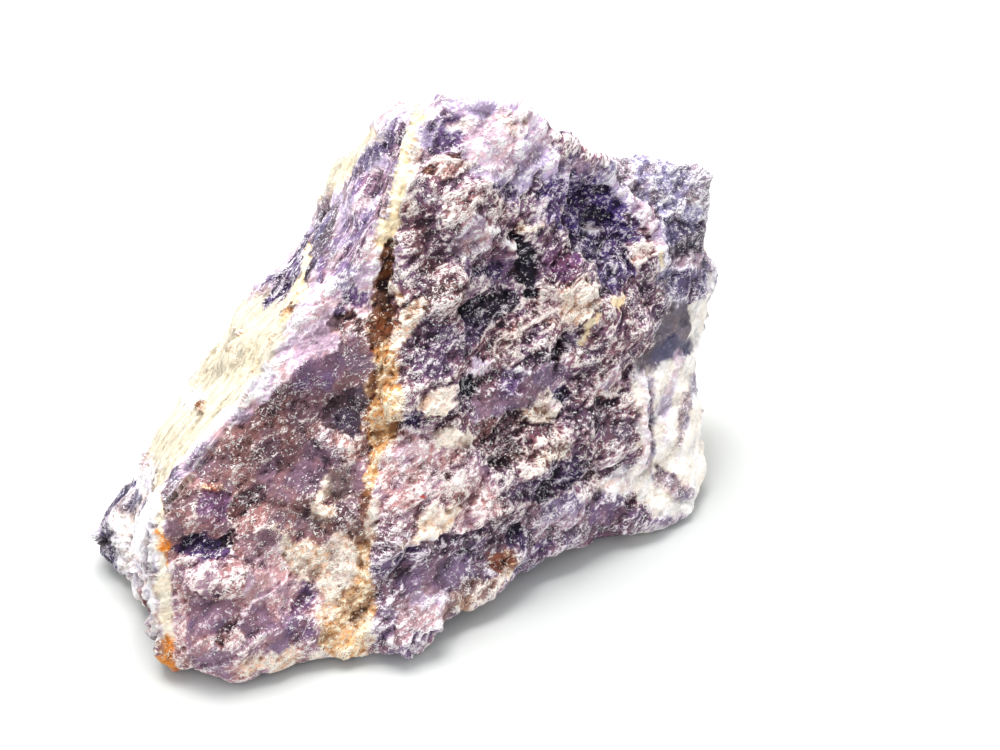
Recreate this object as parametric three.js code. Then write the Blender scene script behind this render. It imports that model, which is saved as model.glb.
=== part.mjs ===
// A rough chunk of banded amethyst, about 150 mm long: one solid stone, broken on every side, resting on a
// small flat spot. Millimetres, +Z up, origin under the middle of its box, on the surface it stands on.
//
// The stone is built in three steps:
//   1. a cage of corners, where its ridges, edges and broken faces meet;
//   2. the cage split into small triangles and eased between its ridges, which stay sharp;
//   3. relief pressed into those: the open seam, hollows, humps and ledges, and small broken faces all over.
import * as THREE from "three";

// ---------------------------------------------------------------- driving dimensions, mm
const FRONT_EDGE = 4.7; // a triangle's longest edge after splitting, on the front and the sides
const BACK_EDGE = 8; // the same at the back
const BACK_FROM = 20; // how far back the triangles start to grow, and
const BACK_TO = 38; // where they have grown
const EASING_ROUNDS = 4; // how often the faces between ridges are eased
const EASING_SHARE = 0.5; // how far a point moves towards its neighbours' middle each time, and
const CORNER_SHARE = 0.2; // a corner of the cage that a ridge runs to, which stays sharper
const SPOT_INSET = 15; // from the underside's rim in to the flat spot, and
const UNDERCUT = 0.8; // how much further for each mm that the rim stands above the surface
const RELIEF_FADE = 6; // height over which the relief grows from nothing at the surface it stands on
const CHIP = { size: 13, stretch: 2, tilt: 0.2, step: 1, steepness: 4 }; // the small broken faces all over
const GRAIN = [0.8, 0.36, 0.48]; // the way the chips and ledges run

// ---------------------------------------------------------------- the cage
// Corners, each [x, y, z]: +x right along the front, +y to the back, z above the resting surface.
const CORNERS = {
  // the crest, from the west, over the summit, down to the saddle and up to the east shoulder
  crestWest: [3.5, 13, 104], summitWest: [8, 18, 107], summitEast: [17, 20, 106.5],
  crestEast: [25, 22, 103], crestDip: [33, 24, 95], crestEnd: [40.5, 28, 89], saddle: [50, 32, 82.5],
  shoulderWest: [56, 42, 80.5], shoulderTop: [62, 42, 78], shoulderEast: [72, 41, 79],
  // the west ridge, down from the crest, between the flank and the front
  ridge1: [0, 8, 96], seam1: [-1, 4, 91], ridge2: [-3.5, 1, 86], ridge3: [-11.5, -4, 77],
  ridge4: [-20.5, -9, 70.5], ridge5: [-29, -16, 63], ridge6: [-31.5, -20, 57], ridge7: [-39.5, -27, 49],
  ridge8: [-47, -34, 41.5],
  // the upright edge at the front's west end
  edge1: [-51.5, -40, 34.5], edge2: [-52.5, -44, 27], edge3: [-53.5, -47.5, 18.5],
  edge4: [-53.5, -50.5, 9], edge5: [-53, -51, 1.5],
  // the seam, which runs down the front between its two broken faces
  seam2: [-3, -5, 79], seam3: [-4, -14, 64.5], seam4: [-5, -22, 48.5], seam5: [-7, -32, 34],
  seam6: [-9, -42, 19], seam7: [-13, -50, 3],
  // the front's west face
  bevel1: [-11.5, -12, 64.5], bevel2: [-22.5, -17, 59.5], west1: [-23, -24, 41.5], west2: [-36, -33, 35],
  west3: [-37.5, -43, 26], west4: [-23, -44.5, 15.5], west5: [-44, -48, 19],
  // the front's east face
  east1: [15, 12, 94], east2: [30.5, 19.5, 87.5], east3: [10.5, 0, 79], east4: [26, 3, 64],
  east5: [42, 27, 71.5], east6: [43, 10, 56.5], east7: [10.5, -11, 57], east8: [31, -4, 43.5],
  east9: [45.5, 2.5, 36], east10: [8, -23, 35], east11: [26, -15, 28.5], east12: [43, -6, 24],
  east13: [5.5, -35, 18.5], east14: [21.5, -25.5, 16], east15: [36, -15, 16], east16: [46, -8, 14.5],
  // the east ridge, between the front and the east side
  turn1: [44.5, 29, 85], turn2: [54.5, 29, 73.5], turn3: [59.5, 28, 66.5], turn4: [61, 23, 55.5],
  turn5: [58, 16, 45.5], turn6: [54.5, 10, 38.5], turn7: [54, 3, 26], turn8: [53, -2, 17.5],
  // the east side: a shelf, a block, a smooth scoop and the face below it
  shelf1: [57, 35, 72.5], shelf2: [72, 38, 70.5], block1: [61.5, 31, 67.5], block2: [74, 36, 62],
  block3: [75, 34, 55], scoop1: [70, 30, 47], scoop2: [62.5, 24, 49.5], scoop3: [55.5, 14, 42.5],
  scoop4: [55.5, 11, 38.5], scoop5: [67.5, 24, 37], side1: [73, 30, 37.5], side2: [62.5, 13, 28],
  side3: [71.5, 24, 20], side4: [58.5, 5, 21.5], side5: [75, 18, 11], side6: [57.5, -4, 9.5],
  side7: [70, 4, 4.5],
  // the far edge of the west flank, from the crest down
  flank1: [-4.5, 24, 97], flank2: [-13.5, 32, 88], flank3: [-18, 34, 81], flank4: [-22.5, 32, 72.5],
  flank5: [-27.5, 24, 65], flank6: [-37, 17, 56], flank7: [-41.5, 13, 52.5], flank8: [-46.5, 7, 45],
  flank9: [-53, -2, 39], flank10: [-54.5, -16, 36.5],
  // the low wing at the west end
  wing1: [-65, -8, 22.5], wing2: [-74, -12, 12], wing3: [-73, -17, 2], wing4: [-67, -27, 2],
  wing5: [-57.5, -38, 2.5], wingMiddle: [-61.5, -26, 20],
  // the back, in three rows from the top
  backTop1: [-9, 42, 78], backTop2: [6, 36, 96], backTop3: [24, 40, 88], backTop4: [44, 48, 72],
  backTop5: [66, 53, 58], back1: [-33, 30, 50], back2: [-12, 50, 52], back3: [18, 54, 54],
  back4: [48, 55, 42], back5: [74, 46, 38], backLow1: [-56, 14, 26], backLow2: [-36, 38, 24],
  backLow3: [-6, 56, 20], backLow4: [34, 57, 18], backLow5: [66, 46, 14],
  // the rim of the underside, from the west toe along the front to the east heel, and back round
  toe1: [-46, -54.5, 1], toe2: [-36.5, -58.5, 0.5], toe3: [-25, -54, 1.5], lip1: [-4, -48.5, 4],
  lip2: [5.5, -43.5, 5], lip3: [17, -35, 6], lip4: [26, -27, 7], lip5: [36, -19.5, 8],
  lip6: [46, -13.5, 7], lip7: [56, -8.5, 5], foot: [63.5, -4.5, 0.5], heel1: [70, -1.5, 2.5],
  heel2: [74.5, 9, 4.5], rim1: [75, 26, 5], rim2: [62, 46, 4], rim3: [32, 55, 4], rim4: [-6, 54, 4],
  rim5: [-34, 42, 4], rim6: [-55, 24, 4], rim7: [-70, 2, 4],
};

// Lines of corners that stay sharp: ridges, edges and the rim.
const CREASES = [
  "flank1 crestWest ridge1 seam1 ridge2 ridge3 ridge4 ridge5 ridge6 ridge7 ridge8 edge1",
  "edge1 edge2 edge3 edge4 edge5",
  "crestWest summitWest summitEast crestEast crestDip crestEnd saddle",
  "saddle shoulderWest shoulderTop shoulderEast",
  "crestEnd turn1 turn2 turn3 turn4 turn5 turn6 turn7 turn8 side6 lip7",
  "bevel1 bevel2 ridge6",
  "shelf1 shelf2",
  "block1 block2",
  "scoop2 scoop3 scoop4 scoop5 scoop1 scoop2",
  "flank10 wing1 wing2 wing3",
  "flank1 flank2 flank3 flank4 flank5 flank6 flank7 flank8 flank9 flank10",
  "seam7 lip1 lip2 lip3 lip4 lip5 lip6 lip7 foot",
  "flank4 backTop1 backTop2 backTop3 backTop4 backTop5 back5 backLow5",
  "backTop3 back3 backLow3",
  "flank7 back1 back2 back3 back4 back5",
  "wing1 backLow1 back1",
  "wing2 rim7",
];

// Faces, each a loop of corners that runs anticlockwise seen from outside.
const FACES = [
  // the west flank
  "crestWest flank1 ridge1", "flank1 flank2 flank3 seam1 ridge1", "flank3 flank4 ridge2 seam1",
  "flank4 flank5 ridge3 ridge2", "flank5 flank6 ridge4 ridge3", "flank6 flank7 ridge5 ridge4",
  "flank7 flank8 ridge6 ridge5", "flank8 flank9 ridge7 ridge6", "flank9 flank10 ridge8 ridge7",
  "flank10 edge1 ridge8",
  // the wing
  "flank10 wing1 wingMiddle edge1", "wing1 wing2 wingMiddle", "wing2 wing3 wingMiddle",
  "wing3 wing4 wingMiddle", "wing4 wing5 wingMiddle", "wingMiddle wing5 edge5 edge4",
  "wingMiddle edge4 edge3", "wingMiddle edge3 edge2", "wingMiddle edge2 edge1",
  // the front, west of the seam
  "seam1 ridge2 seam2", "ridge2 ridge3 bevel1 seam3 seam2", "ridge3 ridge4 bevel2 bevel1",
  "ridge4 ridge5 bevel2", "ridge5 ridge6 bevel2", "bevel1 bevel2 west1 seam4 seam3",
  "bevel2 ridge6 ridge7 west1", "ridge7 ridge8 west2 west1", "ridge8 edge1 edge2 west3 west2",
  "west1 west2 west3 west4", "west1 west4 seam6 seam5 seam4", "edge2 edge3 west5 west3",
  "edge3 edge4 edge5 toe1 west5", "west5 toe1 toe2 west3", "west3 toe2 toe3 west4",
  "west4 toe3 seam7 seam6",
  // the front, east of the seam
  "crestWest ridge1 east1 summitWest", "summitWest east1 summitEast", "summitEast east1 east2 crestEast",
  "crestEast east2 crestDip", "crestDip east2 east5 turn1 crestEnd", "ridge1 seam1 seam2 east3 east1",
  "east1 east3 east4 east2", "east2 east4 east6 east5", "east5 turn2 turn1",
  "east5 east6 turn4 turn3 turn2", "seam2 seam3 east7 east3", "east3 east7 east8 east4",
  "east4 east8 east9 east6", "east6 east9 turn6 turn5 turn4", "east9 east12 turn7 turn6",
  "seam3 seam4 east10 east7", "east7 east10 east11 east8", "east8 east11 east12 east9",
  "seam4 seam5 east10", "seam5 seam6 east13 east10", "east10 east13 east14 east11",
  "east11 east14 east15 east12", "east12 east15 east16 turn8 turn7", "seam6 seam7 lip1 east13",
  "east13 lip1 lip2", "east13 lip2 lip3 east14", "east14 lip3 lip4", "east14 lip4 east15",
  "east15 lip4 lip5", "east15 lip5 lip6 east16", "east16 lip6 lip7 side6 turn8",
  // the east side
  "crestEnd turn1 saddle", "turn1 turn2 shelf1 saddle", "saddle shelf1 shoulderWest",
  "shoulderWest shelf1 shelf2 shoulderEast shoulderTop", "turn2 turn3 block1 shelf1",
  "shelf1 block1 block2 shelf2", "turn3 turn4 scoop2 block1", "block1 scoop2 scoop1 block3 block2",
  "turn4 turn5 scoop3 scoop2", "turn5 turn6 scoop4 scoop3", "scoop2 scoop3 scoop4 scoop5 scoop1",
  "scoop1 scoop5 side1", "block3 scoop1 side1", "turn6 turn7 side2 scoop4", "scoop4 side2 scoop5",
  "scoop5 side2 side3 side1", "turn7 turn8 side4 side2", "side2 side4 side5 side3", "turn8 side6 side4",
  "side4 side6 side7 side5", "side6 lip7 foot side7", "side7 foot heel1", "side7 heel1 heel2 side5",
  // the back
  "flank1 crestWest summitWest backTop2", "summitWest summitEast backTop2",
  "summitEast crestEast backTop3 backTop2", "crestEast crestDip crestEnd backTop3",
  "crestEnd saddle backTop4 backTop3", "saddle shoulderWest shoulderTop backTop4",
  "shoulderTop shoulderEast backTop5 backTop4", "shoulderEast shelf2 block2 block3 backTop5",
  "block3 side1 back5 backTop5", "flank2 flank1 backTop2 backTop1", "flank4 flank3 flank2 backTop1",
  "flank5 flank4 backTop1 back2 back1", "backTop1 backTop2 backTop3 back3 back2",
  "backTop3 backTop4 back4 back3", "backTop4 backTop5 back5 back4", "flank7 flank6 flank5 back1",
  "flank9 flank8 flank7 back1 backLow1", "flank10 flank9 backLow1 wing1", "wing2 wing1 backLow1 rim7",
  "wing3 wing2 rim7", "backLow1 back1 back2 backLow2", "backLow2 back2 back3 backLow3",
  "backLow3 back3 back4 backLow4", "backLow4 back4 back5 backLow5", "back5 side1 side3 backLow5",
  "side3 side5 rim1 backLow5", "side5 heel2 rim1", "backLow5 rim1 rim2", "backLow4 backLow5 rim2 rim3",
  "backLow3 backLow4 rim3 rim4", "backLow2 backLow3 rim4 rim5", "backLow1 backLow2 rim5 rim6",
  "backLow1 rim6 rim7",
];

// The rim of the underside, anticlockwise seen from above.
const RIM = (
  "edge5 toe1 toe2 toe3 seam7 lip1 lip2 lip3 lip4 lip5 lip6 lip7 foot heel1 heel2 " +
  "rim1 rim2 rim3 rim4 rim5 rim6 rim7 wing3 wing4 wing5"
).split(" ");

const vector = ([x, y, z]) => new THREE.Vector3(x, y, z);
const edgeKey = (a, b) => (a < b ? `${a} ${b}` : `${b} ${a}`);

// The cage as points, triangles of their numbers, and creases by their edges' keys, open at the flat spot.
function cage() {
  const names = Object.keys(CORNERS);
  const points = names.map((name) => vector(CORNERS[name]));
  const indexOf = new Map(names.map((name, i) => [name, i]));
  const triangles = [];
  const creases = new Set();
  const fan = (loop) => {
    for (let i = 2; i < loop.length; i++) triangles.push([loop[0], loop[i - 1], loop[i]]);
  };
  for (const face of FACES) fan(face.split(" ").map((name) => indexOf.get(name)));
  for (const line of CREASES) {
    const chain = line.split(" ").map((name) => indexOf.get(name));
    for (let i = 1; i < chain.length; i++) creases.add(edgeKey(chain[i - 1], chain[i]));
  }
  // The underside slopes in from the rim to the flat spot.
  const rim = RIM.map((name) => indexOf.get(name));
  const middle = new THREE.Vector3();
  for (const i of rim) middle.addScaledVector(points[i], 1 / rim.length);
  const spot = rim.map((i) => {
    const inwards = middle.clone().sub(points[i]).setZ(0).normalize();
    const place = points[i].clone().addScaledVector(inwards, SPOT_INSET + UNDERCUT * points[i].z);
    return points.push(place.setZ(0)) - 1;
  });
  for (let i = 0; i < rim.length; i++) {
    const j = (i + 1) % rim.length;
    fan([rim[j], rim[i], spot[i], spot[j]]);
    creases.add(edgeKey(spot[i], spot[j]));
  }
  return { points, triangles, creases };
}

// ---------------------------------------------------------------- splitting and easing
// The longest edge allowed round a point.
function edgeLimit(point) {
  const back = THREE.MathUtils.clamp((point.y - BACK_FROM) / (BACK_TO - BACK_FROM), 0, 1);
  return THREE.MathUtils.lerp(FRONT_EDGE, BACK_EDGE, back);
}

// Splits every edge that is too long at its middle until none is left, with no cracks between neighbours.
function split({ points, triangles, creases }) {
  for (;;) {
    const middles = new Map();
    for (const corners of triangles)
      for (let k = 0; k < 3; k++) {
        const [a, b] = [corners[k], corners[(k + 1) % 3]];
        const key = edgeKey(a, b);
        const middle = points[a].clone().add(points[b]).multiplyScalar(0.5);
        if (middles.has(key) || points[a].distanceTo(points[b]) <= edgeLimit(middle)) continue;
        const added = points.push(middle) - 1;
        middles.set(key, added);
        if (creases.delete(key)) creases.add(edgeKey(a, added)).add(edgeKey(added, b));
      }
    if (!middles.size) return { points, triangles, creases };
    triangles = triangles.flatMap((corners) => splitOne(corners, middles, points));
  }
}

// One triangle with some of its edges split, as one to four triangles.
function splitOne(corners, middles, points) {
  const middle = corners.map((a, k) => middles.get(edgeKey(a, corners[(k + 1) % 3])));
  const count = middle.filter((m) => m !== undefined).length;
  if (count === 0) return [corners];
  if (count === 3) {
    const [[a, b, c], [ab, bc, ca]] = [corners, middle];
    return [[a, ab, ca], [ab, b, bc], [ca, bc, c], [ab, bc, ca]];
  }
  // Turned so that the first edge is the split one, or the last is the one left whole.
  const first = count === 1 ? middle.findIndex((m) => m !== undefined) : (middle.indexOf(undefined) + 1) % 3;
  const [a, b, c] = [0, 1, 2].map((k) => corners[(first + k) % 3]);
  const [ab, bc] = [middle[first], middle[(first + 1) % 3]];
  if (count === 1) return [[a, ab, c], [ab, b, c]];
  const shorter = points[a].distanceTo(points[bc]) < points[ab].distanceTo(points[c]);
  return shorter ? [[ab, b, bc], [a, ab, bc], [a, bc, c]] : [[ab, b, bc], [a, ab, c], [ab, bc, c]];
}

// Moves each point towards its neighbours' middle. On a crease it only counts its neighbours along the crease,
// the cage's own corners there move less, and whatever is on the flat spot stays.
function ease({ points, triangles, creases }) {
  const near = points.map(() => new Set());
  for (const [a, b, c] of triangles)
    for (const [p, q] of [[a, b], [b, c], [c, a]]) {
      near[p].add(q);
      near[q].add(p);
    }
  const along = points.map((_, i) => [...near[i]].filter((j) => creases.has(edgeKey(i, j))));
  const cornerCount = Object.keys(CORNERS).length;
  const share = points.map((_, i) => (along[i].length && i < cornerCount ? CORNER_SHARE : EASING_SHARE));
  for (let round = 0; round < EASING_ROUNDS; round++)
    points = points.map((point, i) => {
      if (point.z === 0) return point;
      const counted = along[i].length ? along[i] : [...near[i]];
      const middle = new THREE.Vector3();
      for (const j of counted) middle.addScaledVector(points[j], 1 / counted.length);
      return point.clone().lerp(middle, share[i]);
    });
  return { points, triangles, creases };
}

// ---------------------------------------------------------------- relief
// Hollows and humps. Each has its middle, its length and width, how far the length is turned from level, in
// degrees anticlockwise seen from outside, how far it rises out of the stone (a hollow's rise is negative), and
// how much of its radius the edge takes, from 1 for a round bowl to 0.2 for a flat-topped step.
const RELIEF = {
  darkHollow: { at: [41, 25, 74], size: [21, 20], turn: 0, rise: -4.5, edge: 0.6 },
  darkCleft: { at: [27, 7, 69.5], size: [18, 6], turn: 95, rise: -3, edge: 0.7 },
  smoothRecess: { at: [19, 0, 68], size: [21, 17], turn: 20, rise: -3.2, edge: 0.3 },
  lowRecess: { at: [13, -6, 62], size: [20, 9], turn: 25, rise: -1.8, edge: 0.4 },
  summitCap: { at: [19, 16, 96], size: [24, 14], turn: -15, rise: 1.6, edge: 0.4 },
  topCrust: { at: [11, 6, 87], size: [19, 17], turn: 30, rise: 1.8, edge: 0.3 },
  crustLedge: { at: [43, 12, 58], size: [26, 12], turn: 22, rise: 2.8, edge: 0.35 },
  ledgeGap1: { at: [36, 4, 50], size: [19, 6], turn: 25, rise: -2.4, edge: 0.5 },
  ledgeGap2: { at: [44, -1, 31], size: [17, 8], turn: 22, rise: -2.2, edge: 0.5 },
  lowLedge: { at: [33, -10, 31], size: [30, 8], turn: 20, rise: 2.2, edge: 0.3 },
  lowGap: { at: [42, -8, 23], size: [18, 9], turn: 20, rise: -2.2, edge: 0.5 },
  brownGap: { at: [20, -15, 36], size: [12, 8], turn: 70, rise: -2.6, edge: 0.5 },
  creamChips: { at: [8, -15, 50], size: [13, 8], turn: 20, rise: 1.6, edge: 0.3 },
  mauveHump: { at: [6, -24, 34], size: [24, 20], turn: 0, rise: 2, edge: 0.5 },
  paleLens: { at: [3, -43, 8], size: [19, 10], turn: 20, rise: 2.2, edge: 0.4 },
  pit: { at: [-1.5, -36.5, 21.5], size: [8, 6], turn: 0, rise: -2.4, edge: 0.8 },
  lipNotch: { at: [20, -29, 11], size: [10, 5], turn: 80, rise: -2, edge: 0.8 },
  ridgeKnob: { at: [56, 25, 63], size: [11, 10], turn: 0, rise: 1.4, edge: 0.4 },
  indigoHollow: { at: [-13, -20, 50], size: [14, 10], turn: 0, rise: -2.8, edge: 0.4 },
  creamLump: { at: [-15, -24, 44], size: [13, 7], turn: -25, rise: 2.4, edge: 0.3 },
  oliveDent: { at: [-14, -30, 35], size: [8, 7], turn: 30, rise: -2.2, edge: 0.5 },
  pinkLump: { at: [-21, -28, 37], size: [12, 12], turn: 0, rise: 1.5, edge: 0.3 },
  brownHollow: { at: [-33, -34, 34], size: [11, 9], turn: 0, rise: -2, edge: 0.6 },
  indigoBand: { at: [-43, -41, 29], size: [17, 7], turn: -5, rise: -2.4, edge: 0.5 },
  creamLens: { at: [-41, -45, 23], size: [17, 8], turn: 5, rise: 2, edge: 0.4 },
  westFoot: { at: [-37, -50, 12], size: [28, 15], turn: 0, rise: 2.2, edge: 0.5 },
  seamFoot: { at: [-18, -43, 17], size: [22, 12], turn: 75, rise: -1.6, edge: 0.6 },
  flankGroove1: { at: [-16, 21, 79], size: [34, 6], turn: 62, rise: -1.8, edge: 0.6 },
  flankGroove2: { at: [-25, 6, 66], size: [30, 6], turn: 60, rise: -1.6, edge: 0.6 },
  flankRib: { at: [-40, 0, 51], size: [34, 9], turn: 55, rise: 1.6, edge: 0.6 },
  backScoop: { at: [34, 50, 60], size: [44, 22], turn: 30, rise: -3.5, edge: 0.6 },
  backLedge: { at: [-8, 54, 34], size: [46, 20], turn: -20, rise: 2.6, edge: 0.2 },
};

// The open seam: a groove that runs through these corners, with its depth at each.
const SEAM = { seam1: 0.6, seam2: 3.6, seam3: 2.2, seam4: 2.4, seam5: 1.6, seam6: 2, seam7: 1 };
const SEAM_REACH = 3.4; // from the seam's middle to the groove's edge

// How far a hollow or hump lifts a point, 0 to 1.
function reliefShare(feature, point, frame) {
  const away = point.clone().sub(frame.centre);
  const [length, width] = feature.size;
  const across = Math.hypot(away.dot(frame.along) / (length / 2), away.dot(frame.up) / (width / 2));
  const reach = Math.hypot(across, away.dot(frame.out) / (width / 2 + Math.abs(feature.rise)));
  return THREE.MathUtils.smoothstep(1 - reach, 0, feature.edge);
}

// A feature's own directions: out of the stone there, along its length and up across it.
function featureFrame(feature, points, normals) {
  const centre = vector(feature.at);
  let nearest = 0;
  for (let i = 1; i < points.length; i++)
    if (points[i].distanceToSquared(centre) < points[nearest].distanceToSquared(centre)) nearest = i;
  const out = normals[nearest];
  const level = new THREE.Vector3(0, 0, 1).cross(out).normalize();
  const along = level.applyAxisAngle(out, THREE.MathUtils.degToRad(feature.turn));
  return { centre: points[nearest], out, along, up: out.clone().cross(along) };
}

// The open seam's depth at a point.
function seamDepth(point) {
  const names = Object.keys(SEAM);
  let depth = 0;
  for (let i = 1; i < names.length; i++) {
    const piece = new THREE.Line3(vector(CORNERS[names[i - 1]]), vector(CORNERS[names[i]]));
    const t = piece.closestPointToPointParameter(point, true);
    const away = piece.at(t, new THREE.Vector3()).distanceTo(point);
    const deepest = THREE.MathUtils.lerp(SEAM[names[i - 1]], SEAM[names[i]], t);
    depth = Math.max(depth, deepest * (1 - THREE.MathUtils.smoothstep(away, SEAM_REACH / 3, SEAM_REACH)));
  }
  return depth;
}

// Numbers from 0 to 1 that are always the same for the same cell.
function chance(i, j, k, turn) {
  const wave = Math.sin(i * 127.1 + j * 311.7 + k * 74.7 + turn * 53.3) * 43758.5453;
  return wave - Math.floor(wave);
}

// Small broken faces: space is shared out among scattered seeds, stretched along the grain, and a seed's points
// lie on its own tilted plane, with a short steep slope between neighbours.
function chipHeight(point) {
  const grain = vector(GRAIN).normalize();
  const squeezed = point.dot(grain) * (1 / CHIP.stretch - 1);
  const place = point.clone().addScaledVector(grain, squeezed).divideScalar(CHIP.size);
  const cell = place.clone().floor();
  let nearest = Infinity;
  let height = -Infinity;
  for (let i = cell.x - 1; i <= cell.x + 1; i++)
    for (let j = cell.y - 1; j <= cell.y + 1; j++)
      for (let k = cell.z - 1; k <= cell.z + 1; k++) {
        const some = (turn) => chance(i, j, k, turn);
        const away = place.clone().sub(new THREE.Vector3(i + some(1), j + some(2), k + some(3)));
        const tilt = new THREE.Vector3(some(4), some(5), some(6)).subScalar(0.5);
        const plane = away.dot(tilt) * 2 * CHIP.tilt * CHIP.size + (some(7) - 0.5) * 2 * CHIP.step;
        nearest = Math.min(nearest, away.lengthSq());
        height = Math.max(height, plane - CHIP.steepness * away.lengthSq());
      }
  return height + CHIP.steepness * nearest;
}

// Moves every point in or out of the stone by all of the relief.
function relieve({ points, triangles }) {
  const smooth = geometryOf({ points, triangles }).getAttribute("normal");
  const normals = points.map((_, i) => new THREE.Vector3().fromBufferAttribute(smooth, i));
  const features = Object.values(RELIEF).map((feature) => [feature, featureFrame(feature, points, normals)]);
  const raised = points.map((point, i) => {
    let rise = chipHeight(point) - seamDepth(point);
    for (const [feature, frame] of features) rise += feature.rise * reliefShare(feature, point, frame);
    const fade = THREE.MathUtils.smoothstep(point.z, 0, RELIEF_FADE);
    return point.clone().addScaledVector(normals[i], rise * fade);
  });
  return { points: raised, triangles };
}

// ---------------------------------------------------------------- the solid
// Closes the bottom with the flat spot.
function closeSpot({ points, triangles }) {
  const edges = new Set(triangles.flatMap(([a, b, c]) => [`${a} ${b}`, `${b} ${c}`, `${c} ${a}`]));
  const next = new Map();
  for (const edge of edges) {
    const [a, b] = edge.split(" ");
    if (!edges.has(`${b} ${a}`)) next.set(Number(b), Number(a));
  }
  const loop = [next.keys().next().value];
  while (next.get(loop.at(-1)) !== loop[0]) loop.push(next.get(loop.at(-1)));
  const outline = loop.map((i) => new THREE.Vector2(points[i].x, points[i].y));
  for (const [a, b, c] of THREE.ShapeUtils.triangulateShape(outline, []))
    triangles.push([c, b, a].map((i) => loop[i]));
  return { points, triangles };
}

function geometryOf({ points, triangles }) {
  const geometry = new THREE.BufferGeometry().setFromPoints(points);
  geometry.setIndex(triangles.flat());
  geometry.computeVertexNormals();
  return geometry;
}

const stone = closeSpot(relieve(ease(split(cage()))));
const geometry = geometryOf(stone);
geometry.computeBoundingBox();
const middle = geometry.boundingBox.getCenter(new THREE.Vector3());
geometry.translate(-middle.x, -middle.y, 0);
geometry.computeVertexNormals();

const amethyst = new THREE.MeshStandardMaterial({
  color: 0x7a6488,
  roughness: 0.55,
  metalness: 0,
  flatShading: true,
});
const chunk = new THREE.Mesh(geometry, amethyst);
chunk.name = "amethyst_chunk";

const part = new THREE.Group();
part.add(chunk);

export default part;
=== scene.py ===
"""A rough chunk of banded amethyst, dressed over its solid.

The stone's mesh starts as a copy of the solid. It is split finely, its large facets are eased, and broken
faces, ledges, crusts and pits are raised on it. Its minerals are laid on by name: bands through the whole
stone, then zones, patches and veins where its front shows them. Lengths are in millimetres until the mesh
is made.
"""
import itertools
import math

import bpy
import numpy as np
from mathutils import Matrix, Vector
from mathutils.bvhtree import BVHTree


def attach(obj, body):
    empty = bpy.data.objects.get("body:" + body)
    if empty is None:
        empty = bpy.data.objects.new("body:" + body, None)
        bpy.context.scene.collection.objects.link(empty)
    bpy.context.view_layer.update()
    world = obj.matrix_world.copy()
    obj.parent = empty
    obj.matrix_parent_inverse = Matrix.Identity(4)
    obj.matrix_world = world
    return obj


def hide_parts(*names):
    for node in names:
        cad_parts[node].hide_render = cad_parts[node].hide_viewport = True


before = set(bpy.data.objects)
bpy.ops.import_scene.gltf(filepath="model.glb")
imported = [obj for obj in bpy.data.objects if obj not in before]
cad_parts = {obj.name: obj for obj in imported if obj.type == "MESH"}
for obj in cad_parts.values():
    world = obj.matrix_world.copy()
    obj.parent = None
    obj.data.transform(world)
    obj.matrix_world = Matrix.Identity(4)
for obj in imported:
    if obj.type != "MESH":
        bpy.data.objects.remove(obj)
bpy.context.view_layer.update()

MM = 0.001

# ---------------- the camera
# Zones, patches and veins are placed by px in this camera's picture.
WIDTH, HEIGHT = 1000, 750  # the picture, px
LENS, SENSOR = 52, 36
ELEVATION = math.radians(36)
DISTANCE = 340
TARGET = np.array([21.55, -1.4, 45.0])
FOCAL = WIDTH * LENS / SENSOR
FORWARD = np.array([0, math.cos(ELEVATION), -math.sin(ELEVATION)])
UP = np.array([0, math.sin(ELEVATION), math.cos(ELEVATION)])
EYE = TARGET - DISTANCE * FORWARD
PX_PER_MM = FOCAL / DISTANCE  # at the target's distance

# ---------------- the mesh's sizes
FRONT_EDGE = 1.08  # a triangle's longest edge, on the front and the sides
BACK_EDGE = 1.75  # the same at the back
BACK_FROM, BACK_TO = 18, 36  # how far back the triangles start to grow, and where they have grown
SIGHT_SLACK = 0.6  # how far behind the surface that the camera sees a point still counts as seen
SPOT_FADE = 4  # height over which relief and easing grow from nothing, so the flat spot stays flat
# Rounds of averaging with the neighbours, for the solid's easing, the normals that the relief follows, the
# broad way that the stone faces, the edge of what the camera sees, and the near and wide neighbourhoods.
EASING_ROUNDS, NORMAL_ROUNDS, BROAD_ROUNDS, SIGHT_ROUNDS, NEAR_ROUNDS, WIDE_ROUNDS = 7, 3, 30, 6, 3, 24

# ---------------- the grain and the relief
GRAIN = (0.8, 0.36, 0.48)  # the way the ledges and chips run on the front and back
RIDGE = (0.555, 0.525, 0.646)  # the way the streaks run on the west flank
FLANK_WAY = (-0.62, 0.1, 0.5)  # the way the west flank faces
ACROSS = (-0.5, 0.2, 0.84)  # across the ledges
STRETCH = 1.6  # how much longer than wide the grains are, and
FLANK_STRETCH = 3.6  # those of the west flank
ANCHOR = (-20, -9, 70)  # a point on the west ridge, which both stretches leave where it is
SWEEP = (530, 415, (62, 34), 28)  # the streaked ledges, written as a patch below is, as far as its turn
# Sizes along the surface, and heights.
LUMP, LUMP_RISE = 8, 0.9
FACET, FACET_RISE = 3.4, 0.75
FLAKE, FLAKE_RISE = 1.5, 0.7
LEDGE, LEDGE_RISE = 6.5, 0.6
CRUST, CRUST_RISE = 1.5, 0.5
STREAK, STREAK_RISE = 2.2, 0.25
PIT, PIT_DEPTH = 2.4, 0.9
WEST_EVENNESS = 0.45  # the share of the broken relief that the west face of the front does without

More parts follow.
